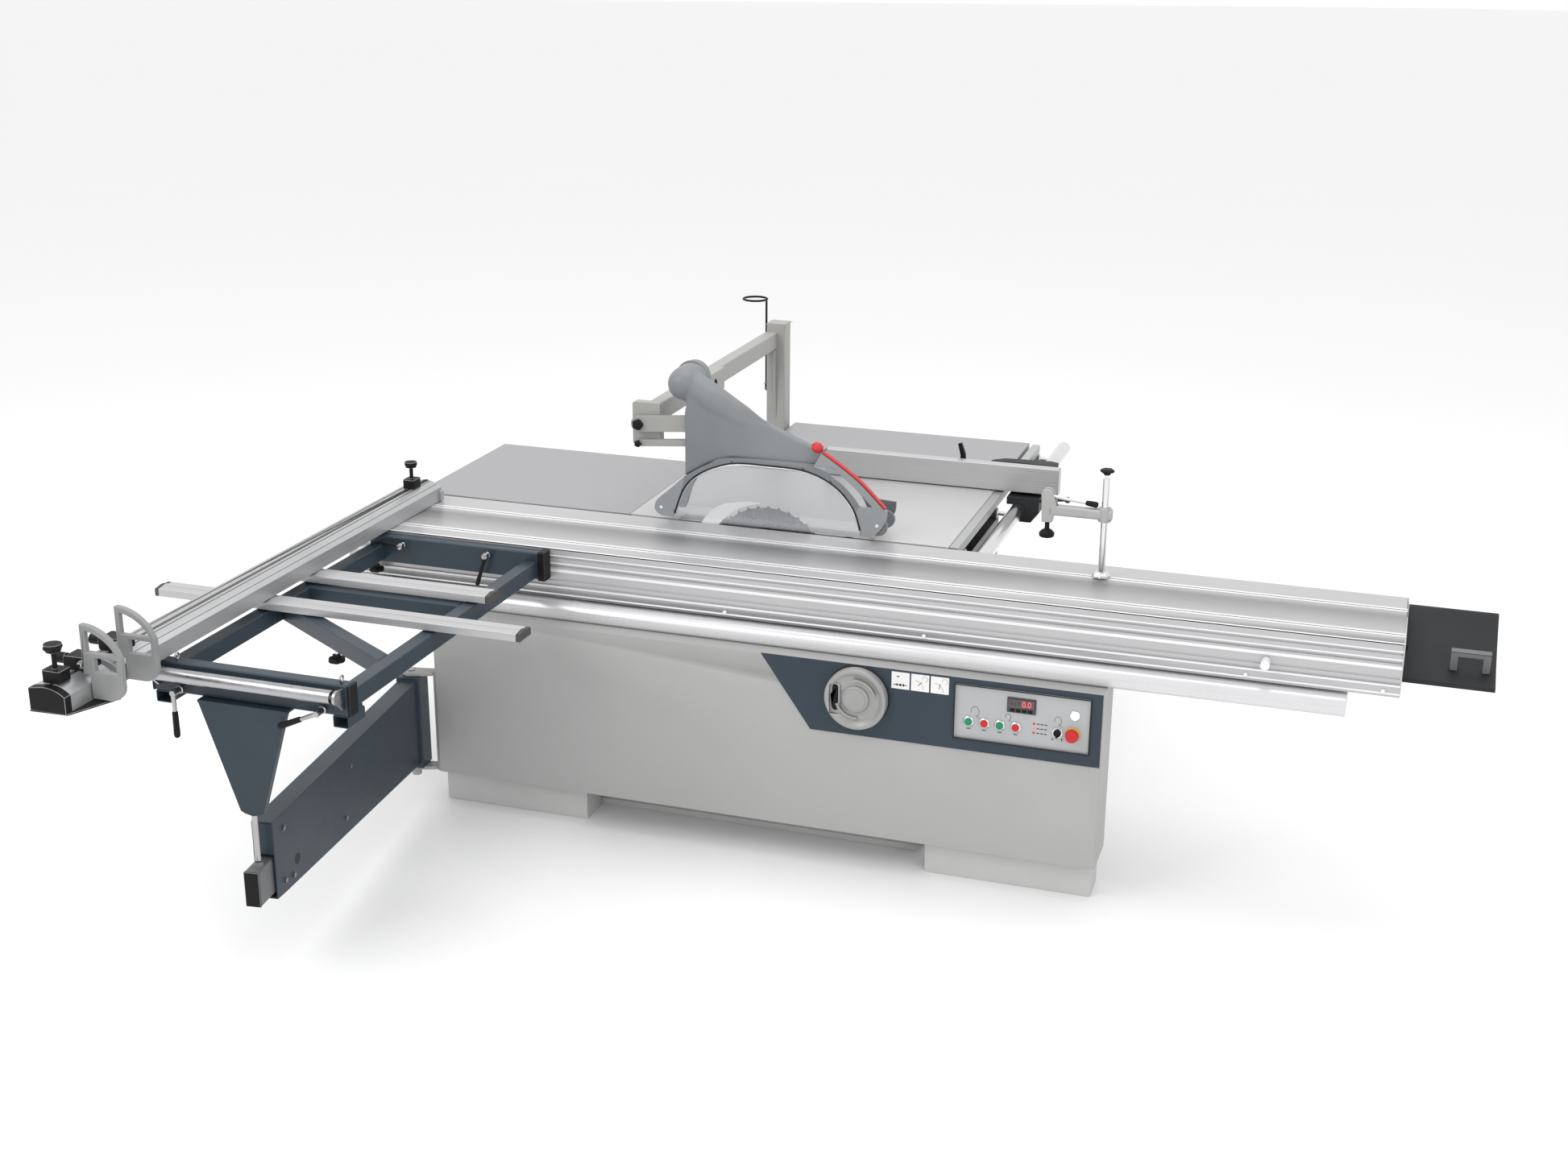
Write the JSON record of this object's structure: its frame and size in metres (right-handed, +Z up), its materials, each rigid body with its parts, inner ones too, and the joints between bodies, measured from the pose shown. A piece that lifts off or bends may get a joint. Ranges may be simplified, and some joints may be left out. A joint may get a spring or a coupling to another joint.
{
  "type": "sliding table panel saw",
  "caption": "Panel saw with a sliding table, crosscut fence on an outrigger, overhead guard, rip fence and a tilting saw unit.",
  "frame": {"origin": "on the floor, in the middle of the front cabinet's length, under the sliding table's blade edge", "axes": "+X along the sliding table, away from the outfeed side; +Y from the operator's side towards the rip fence; +Z up"},
  "size_m": [3.658, 3.434, 1.3697],
  "materials": {
    "cabinet": "fine textured powder coat",
    "slate": "satin paint",
    "plinth": "powder coat",
    "control": "satin plate",
    "cast": "ground",
    "table": "ground and coated",
    "steel": "turned",
    "chrome": "polished",
    "alu": "anodised",
    "white_cast": "satin",
    "charcoal": "satin",
    "black_plastic": "moulded",
    "grey_plastic": "moulded",
    "rubber": "matte",
    "green": "gloss",
    "red": "gloss",
    "motor": "painted",
    "link": "powder coat"
  },
  "bodies": {
    "machine": {"front_cabinet": "cabinet", "rear_cabinet": "cabinet", "plinths": "plinth", "front_fascia": "slate", "control_plate": "control", "main_table": "cast", "outfeed_table": "table", "extension_table": "table", "rip_rail": "chrome", "sliding_beam": "alu", "trunnions": "cast", "guard_post": "link", "guard_arm": "link"},
    "roller_cage": {"roller_cage": "steel"},
    "carriage": {"carriage_table": "alu", "end_plate": "charcoal", "outrigger_beam": "slate", "outrigger_tubes": "slate", "support_plate": "slate", "support_bars": "alu", "roller_bracket": "steel", "clamp_post": "chrome"},
    "lock_pin": {"lock_pin": "alu"},
    "outrigger_roller": {"outrigger_roller": "chrome"},
    "ratchet_lever_left": {"ratchet_lever_left": "black_plastic"},
    "ratchet_lever_right": {"ratchet_lever_right": "black_plastic"},
    "frame_lever_left": {"frame_lever_left": "black_plastic"},
    "frame_lever_right": {"frame_lever_right": "black_plastic"},
    "crosscut_fence": {"crosscut_fence": "alu"},
    "fence_extension": {"fence_extension": "alu"},
    "flip_stop_inner": {"flip_stop_inner": "white_cast"},
    "flip_stop_outer": {"flip_stop_outer": "white_cast"},
    "clamp_arm": {"clamp_arm": "alu"},
    "clamp_lever": {"clamp_lever": "chrome"},
    "clamp_pad": {"clamp_pad": "rubber"},
    "swing_arm": {"swing_arm": "slate"},
    "inner_tube": {"inner_tube": "plinth"},
    "tilt_frame": {"tilt_frame": "motor"},
    "rise_carrier": {"arbor_carrier": "motor", "main_motor": "motor", "riving_knife": "steel", "drive_belt": "rubber"},
    "saw_spindle": {"saw_arbor": "steel", "saw_blade": "steel"},
    "motor_rotor": {"motor_pulley": "steel"},
    "scoring_spindle": {"scoring_blade": "steel"},
    "upper_link": {"upper_link": "link"},
    "lower_link": {"lower_link": "link"},
    "guard_hood": {"guard_hood": "grey_plastic"},
    "rip_carriage": {"rip_carriage": "charcoal"},
    "rip_profile": {"rip_profile": "alu"},
    "rip_lever": {"rip_lever": "black_plastic"},
    "handwheel": {"handwheel": "white_cast"},
    "handwheel_handle": {"handwheel_handle": "black_plastic"},
    "saw_start_button": {"saw_start_button": "green"},
    "saw_stop_button": {"saw_stop_button": "red"},
    "scoring_start_button": {"scoring_start_button": "green"},
    "scoring_stop_button": {"scoring_stop_button": "red"},
    "selector_knob": {"selector_knob": "black_plastic"},
    "estop_button": {"estop_button": "red"}
  },
  "joints": [
    {"name": "carriage_slide", "type": "slide", "parent": "machine", "child": "carriage", "axis": [1, 0, 0], "range_m": [-1.8, 1.28]},
    {"name": "roller_cage_slide", "type": "slide", "parent": "machine", "child": "roller_cage", "axis": [1, 0, 0], "range_m": [-0.9, 0.64]},
    {"name": "lock_pin_pull", "type": "slide", "parent": "carriage", "child": "lock_pin", "axis": [0, -1, 0], "range_m": [0, 0.008], "stiffness_N_per_m": 1500, "springref_m": -0.004},
    {"name": "outrigger_roller_spin", "type": "hinge", "parent": "carriage", "child": "outrigger_roller", "pos_m": [-0.979, -1.596, 0.842], "axis": [1, 0, 0], "continuous": true},
    {"name": "ratchet_lever_left_turn", "type": "hinge", "parent": "carriage", "child": "ratchet_lever_left", "pos_m": [-1.152, -0.44, 0.846], "axis": [0, 1, 0], "range_deg": [0, 100]},
    {"name": "ratchet_lever_right_turn", "type": "hinge", "parent": "carriage", "child": "ratchet_lever_right", "pos_m": [-0.863, -0.44, 0.846], "axis": [0, 1, 0], "range_deg": [-30, 90]},
    {"name": "frame_lever_left_turn", "type": "hinge", "parent": "carriage", "child": "frame_lever_left", "pos_m": [-1.188, -1.563, 0.792], "axis": [0, 1, 0], "range_deg": [-25, 50]},
    {"name": "frame_lever_right_turn", "type": "hinge", "parent": "carriage", "child": "frame_lever_right", "pos_m": [-0.769, -1.563, 0.792], "axis": [0, 1, 0], "range_deg": [-95, 5]},
    {"name": "fence_mitre", "type": "hinge", "parent": "carriage", "child": "crosscut_fence", "pos_m": [-1.275, -0.1, 0.872], "axis": [0, 0, -1], "range_deg": [0, 45]},
    {"name": "fence_extension_slide", "type": "slide", "parent": "crosscut_fence", "child": "fence_extension", "axis": [0, -1, 0], "range_m": [-0.015, 0.5]},
    {"name": "flip_stop_inner_turn", "type": "hinge", "parent": "crosscut_fence", "child": "flip_stop_inner", "pos_m": [-1.25, -1.72, 0.96], "axis": [0, -1, 0], "range_deg": [0, 100]},
    {"name": "flip_stop_outer_turn", "type": "hinge", "parent": "fence_extension", "child": "flip_stop_outer", "pos_m": [-1.25, -1.856, 0.96], "axis": [0, -1, 0], "range_deg": [0, 100]},
    {"name": "clamp_swivel", "type": "hinge", "parent": "carriage", "child": "clamp_arm", "pos_m": [0.958, -0.113, 1.06], "axis": [0, 0, 1], "range_deg": [-90, 90]},
    {"name": "clamp_lever_lift", "type": "hinge", "parent": "clamp_arm", "child": "clamp_lever", "pos_m": [0.791, -0.113, 1.102], "axis": [0, -1, 0], "range_deg": [0, 70]},
    {"name": "clamp_pad_lift", "type": "slide", "parent": "clamp_arm", "child": "clamp_pad", "axis": [0, 0, 1], "range_m": [0, 0.012]},
    {"name": "arm_swing", "type": "hinge", "parent": "machine", "child": "swing_arm", "pos_m": [-1.125, -0.49, 0.13], "axis": [0, 0, 1], "range_deg": [-64, 45.6]},
    {"name": "arm_extend", "type": "slide", "parent": "swing_arm", "child": "inner_tube", "axis": [0.1217, -0.9926, 0], "range_m": [0, 0.896]},
    {"name": "blade_tilt", "type": "hinge", "parent": "machine", "child": "tilt_frame", "pos_m": [-0.115, 0.012, 0.87], "axis": [-1, 0, 0], "range_deg": [0, 45]},
    {"name": "blade_rise", "type": "slide", "parent": "tilt_frame", "child": "rise_carrier", "axis": [0, 0, 1], "range_m": [-0.085, 0.03]},
    {"name": "blade_spin", "type": "hinge", "parent": "rise_carrier", "child": "saw_spindle", "pos_m": [-0.115, 0.012, 0.745], "axis": [0, 1, 0], "continuous": true},
    {"name": "motor_spin", "type": "hinge", "parent": "rise_carrier", "child": "motor_rotor", "pos_m": [-0.115, 0.135, 0.48], "axis": [0, 1, 0], "continuous": true},
    {"name": "scoring_spin", "type": "hinge", "parent": "tilt_frame", "child": "scoring_spindle", "pos_m": [0.152, 0.012, 0.812], "axis": [0, 1, 0], "continuous": true},
    {"name": "guard_upper_link", "type": "hinge", "parent": "machine", "child": "upper_link", "pos_m": [-0.556, 0.032, 1.168], "axis": [0, -1, 0], "range_deg": [0, 28]},
    {"name": "guard_lower_link", "type": "hinge", "parent": "machine", "child": "lower_link", "pos_m": [-0.556, 0.032, 1.106], "axis": [0, -1, 0], "range_deg": [0, 28]},
    {"name": "guard_hood_level", "type": "hinge", "parent": "upper_link", "child": "guard_hood", "pos_m": [-0.3, 0.032, 1.19], "axis": [0, -1, 0], "range_deg": [-28, 0]},
    {"name": "rip_fence_slide", "type": "slide", "parent": "machine", "child": "rip_carriage", "axis": [0, 1, 0], "range_m": [-0.54, 0.65]},
    {"name": "rip_profile_slide", "type": "slide", "parent": "rip_carriage", "child": "rip_profile", "axis": [1, 0, 0], "range_m": [-0.3, 0.15]},
    {"name": "rip_lever_turn", "type": "hinge", "parent": "rip_carriage", "child": "rip_lever", "pos_m": [0.336, 0.742, 0.92], "axis": [0, 1, 0], "range_deg": [-40, 70]},
    {"name": "handwheel_turn", "type": "hinge", "parent": "machine", "child": "handwheel", "pos_m": [0.331, -0.512, 0.557], "axis": [0, -1, 0], "range_deg": [0, 2700]},
    {"name": "handle_fold", "type": "hinge", "parent": "handwheel", "child": "handwheel_handle", "pos_m": [0.27, -0.51, 0.523], "axis": [1, 0, 0], "range_deg": [0, 90]},
    {"name": "saw_start_button_press", "type": "slide", "parent": "machine", "child": "saw_start_button", "axis": [0, 1, 0], "range_m": [0, 0.003], "stiffness_N_per_m": 800, "springref_m": -0.001},
    {"name": "saw_stop_button_press", "type": "slide", "parent": "machine", "child": "saw_stop_button", "axis": [0, 1, 0], "range_m": [0, 0.003], "stiffness_N_per_m": 800, "springref_m": -0.001},
    {"name": "scoring_start_button_press", "type": "slide", "parent": "machine", "child": "scoring_start_button", "axis": [0, 1, 0], "range_m": [0, 0.003], "stiffness_N_per_m": 800, "springref_m": -0.001},
    {"name": "scoring_stop_button_press", "type": "slide", "parent": "machine", "child": "scoring_stop_button", "axis": [0, 1, 0], "range_m": [0, 0.003], "stiffness_N_per_m": 800, "springref_m": -0.001},
    {"name": "selector_turn", "type": "hinge", "parent": "machine", "child": "selector_knob", "pos_m": [0.918, -0.495, 0.524], "axis": [0, 1, 0], "range_deg": [-45, 45]},
    {"name": "estop_press", "type": "slide", "parent": "machine", "child": "estop_button", "axis": [0, 1, 0], "range_m": [0, 0.005], "stiffness_N_per_m": 1200, "springref_m": -0.001}
  ],
  "couplings": [
    {"joint": "roller_cage_slide", "follows": "carriage_slide", "ratio": 0.5},
    {"joint": "arm_swing", "follows": "carriage_slide", "rad_per_m": 0.6196},
    {"joint": "clamp_pad_lift", "follows": "clamp_lever_lift", "m_per_rad": 0.0098},
    {"joint": "motor_spin", "follows": "blade_spin", "ratio": 0.76},
    {"joint": "guard_lower_link", "follows": "guard_upper_link", "ratio": 1},
    {"joint": "guard_hood_level", "follows": "guard_upper_link", "ratio": -1},
    {"joint": "handwheel_turn", "follows": "blade_tilt", "ratio": 60}
  ]
}
